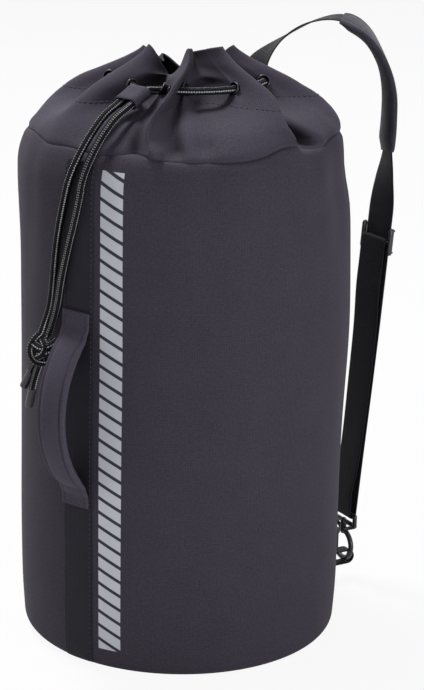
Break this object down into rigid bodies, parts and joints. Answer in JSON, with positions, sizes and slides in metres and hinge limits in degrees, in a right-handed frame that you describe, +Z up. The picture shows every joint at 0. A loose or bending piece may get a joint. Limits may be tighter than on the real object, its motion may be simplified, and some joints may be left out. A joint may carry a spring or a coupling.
{
  "type": "drawstring duffel bag",
  "caption": "Tall round cloth bag with a pleated drawcord neck, a padded side handle, and a padded shoulder strap that clips to a loop at the base.",
  "frame": {"origin": "centre of the round base, on the floor", "axes": "+Z up along the bag's axis, -Y towards the side handle, +X to the right of someone who stands outside and faces the handle"},
  "size_m": [0.35, 0.4851, 0.6572],
  "materials": {
    "body_cloth": "woven, matte",
    "base_cloth": "woven, matte",
    "collar_cloth": "woven, matte",
    "binding_tape": "woven tape",
    "eyelet_metal": "dark gunmetal",
    "band_webbing": "woven webbing",
    "handle_cloth": "woven, matte",
    "foam": "closed-cell foam",
    "cord": "braided cord with light flecks",
    "cord_sleeve": "shrunk sleeve",
    "strap_webbing": "woven webbing",
    "pad_cloth": "brushed knit",
    "slider_plastic": "moulded",
    "hook_metal": "black coated",
    "pin_steel": "satin"
  },
  "bodies": {
    "bag": {"body_panel": "body_cloth", "base_panel": "base_cloth", "base_binding": "binding_tape", "yoke_binding": "binding_tape", "collar_panel": "collar_cloth", "collar_hem": "collar_cloth", "eyelets": "eyelet_metal", "eyelet_washers": "eyelet_metal", "side_band": "band_webbing", "handle_top_tab": "handle_cloth", "handle_bottom_tab": "handle_cloth", "drawcord_neck": "cord", "drawcord_left": "cord", "drawcord_right": "cord", "drawcord_knot": "cord", "drawcord_tails": "cord", "cord_tips": "cord_sleeve", "strap_anchor": "strap_webbing", "base_loop": "strap_webbing"},
    "handle": {"handle_cover": "handle_cloth", "handle_core": "foam"},
    "keeper": {"cord_keeper": "collar_cloth"},
    "strap": {"strap_upper_webbing": "strap_webbing", "pad_face": "pad_cloth", "pad_foam": "foam", "pad_lining": "pad_cloth", "strap_lower_webbing": "strap_webbing", "strap_return_webbing": "strap_webbing", "snap_hook": "hook_metal", "hook_pin": "pin_steel"},
    "slider": {"strap_slider": "slider_plastic", "strap_end_loop": "strap_webbing"},
    "gate": {"hook_gate": "hook_metal"}
  },
  "joints": [
    {"name": "handle_swing", "type": "hinge", "parent": "bag", "child": "handle", "pos_m": [0, -0.177, 0.286], "axis": [0, 0, 1], "range_deg": [-10, 35]},
    {"name": "keeper_slide", "type": "slide", "parent": "bag", "child": "keeper", "axis": [0, -0.9272, -0.3746], "range_m": [0, 0.02]},
    {"name": "strap_swing", "type": "hinge", "parent": "bag", "child": "strap", "pos_m": [-0.03504, 0.16686, 0.578], "axis": [-0.2073, -0.0655, 0.9761], "range_deg": [-20, 20]},
    {"name": "slider_slide", "type": "slide", "parent": "strap", "child": "slider", "axis": [0.0484, 0.0536, 0.9974], "range_m": [-0.06, 0.02], "deforming": ["strap_return_webbing"]},
    {"name": "gate_hinge", "type": "hinge", "parent": "strap", "child": "gate", "pos_m": [0.06999, 0.209, 0.05247], "axis": [-0.3746, -0.9272, 0], "range_deg": [0, 16], "stiffness_Nm_per_rad": 0.06, "springref_deg": -14.32}
  ]
}
